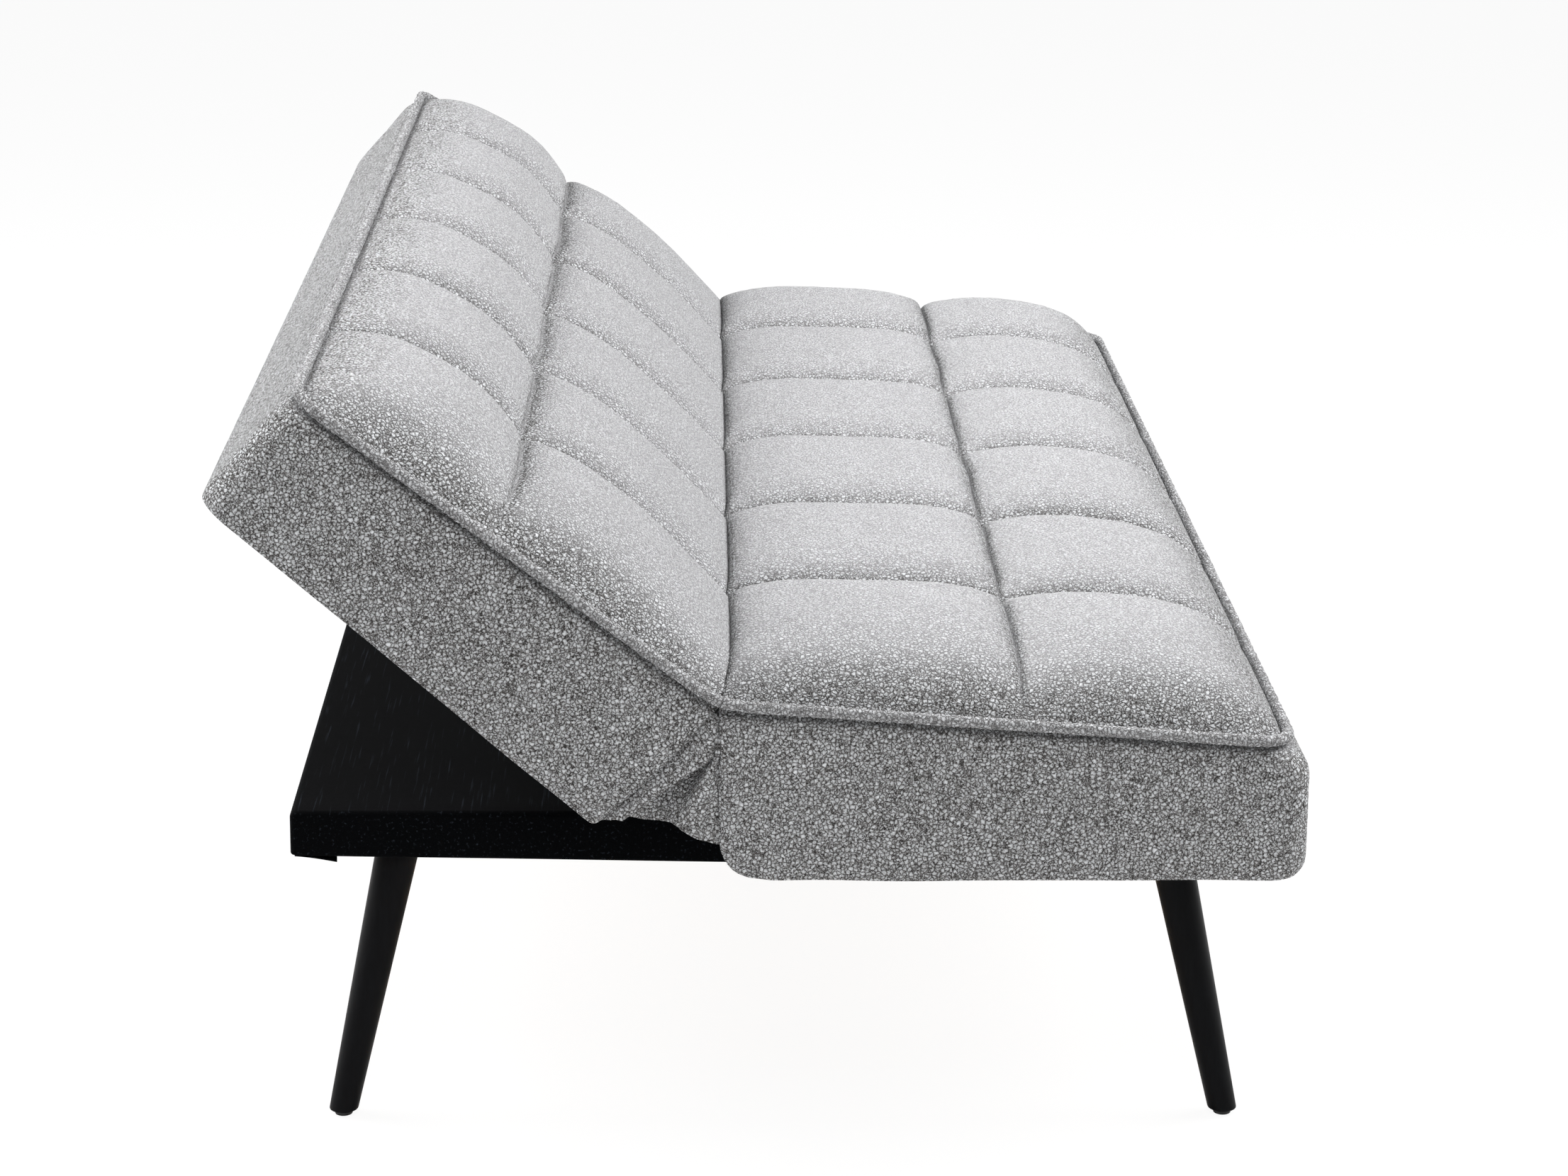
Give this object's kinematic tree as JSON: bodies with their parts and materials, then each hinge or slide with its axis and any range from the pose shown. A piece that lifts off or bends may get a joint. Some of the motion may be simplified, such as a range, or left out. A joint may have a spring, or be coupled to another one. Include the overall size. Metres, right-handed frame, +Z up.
{
  "type": "click clack sofa bed",
  "caption": "Armless click clack sofa bed: quilted seat on splayed legs, with a quilted back on ratchet hinges that sets upright, reclined or flat.",
  "frame": {"origin": "on the floor under the centre of the sofa's outer box, with the back at its pictured reclined position", "axes": "+X along the sofa, towards its left end as seen by someone sitting on it; the seat's front faces -Y and the back rises towards +Y; +Z up"},
  "size_m": [1.8, 1.0292, 0.733],
  "materials": {
    "boucle_fabric": "matte",
    "black_fabric": "matte",
    "dust_fabric": "matte",
    "foam": "matte",
    "timber": "matte",
    "black_wood": "satin",
    "steel": "satin",
    "black_plastic": "satin"
  },
  "bodies": {
    "base": {"seat_cover": "boucle_fabric", "seat_welt": "boucle_fabric", "seat_foam": "foam", "seat_springs": "steel", "seat_front_rail": "timber", "seat_rear_rail": "timber", "seat_right_rail": "timber", "seat_left_rail": "timber", "hinge_seat_arm_right": "steel", "hinge_seat_arm_left": "steel", "hinge_pin_right": "steel", "hinge_pin_left": "steel", "seat_hinge_right_bolt_1": "steel", "seat_hinge_right_bolt_2": "steel", "seat_hinge_left_bolt_1": "steel", "seat_hinge_left_bolt_2": "steel", "crease_strip": "boucle_fabric", "gusset_right": "boucle_fabric", "gusset_left": "boucle_fabric", "base_cover": "black_fabric", "base_deck": "timber", "base_right_rail": "timber", "base_left_rail": "timber", "base_front_rail": "timber", "base_rear_rail": "timber", "leg_front_right": "black_wood", "leg_front_left": "black_wood", "leg_rear_right": "black_wood", "leg_rear_left": "black_wood", "glide_front_right": "black_plastic", "glide_front_left": "black_plastic", "glide_rear_right": "black_plastic", "glide_rear_left": "black_plastic", "leg_plate_front_right": "steel", "leg_plate_front_left": "steel", "leg_plate_rear_right": "steel", "leg_plate_rear_left": "steel", "leg_bolt_front_right": "steel", "leg_bolt_front_left": "steel", "leg_bolt_rear_right": "steel", "leg_bolt_rear_left": "steel"},
    "backrest": {"back_cover": "boucle_fabric", "back_welt": "boucle_fabric", "back_foam": "foam", "back_springs": "steel", "back_top_rail": "timber", "back_bottom_rail": "timber", "back_right_rail": "timber", "back_left_rail": "timber", "back_dust_cover": "dust_fabric", "hinge_back_arm_right": "steel", "hinge_back_arm_left": "steel", "back_hinge_right_bolt_1": "steel", "back_hinge_right_bolt_2": "steel", "back_hinge_left_bolt_1": "steel", "back_hinge_left_bolt_2": "steel", "pawl_spring_right": "steel", "pawl_spring_left": "steel"},
    "pawl_right": {"pawl_right": "steel"},
    "pawl_left": {"pawl_left": "steel"}
  },
  "joints": [
    {"name": "backrest_hinge", "type": "hinge", "parent": "base", "child": "backrest", "pos_m": [0, 0.0344, 0.4085], "axis": [1, 0, 0], "range_deg": [-41, 35], "deforming": ["gusset_right", "gusset_left", "crease_strip"]},
    {"name": "pawl_right_lift", "type": "hinge", "parent": "backrest", "child": "pawl_right", "pos_m": [-0.856, 0.08762, 0.39911], "axis": [1, 0, 0], "range_deg": [0, 6], "stiffness_Nm_per_rad": 0.5, "springref_deg": -17.19, "deforming": ["pawl_spring_right"]},
    {"name": "pawl_left_lift", "type": "hinge", "parent": "backrest", "child": "pawl_left", "pos_m": [0.856, 0.08762, 0.39911], "axis": [1, 0, 0], "range_deg": [0, 6], "stiffness_Nm_per_rad": 0.5, "springref_deg": -17.19, "deforming": ["pawl_spring_left"]}
  ]
}
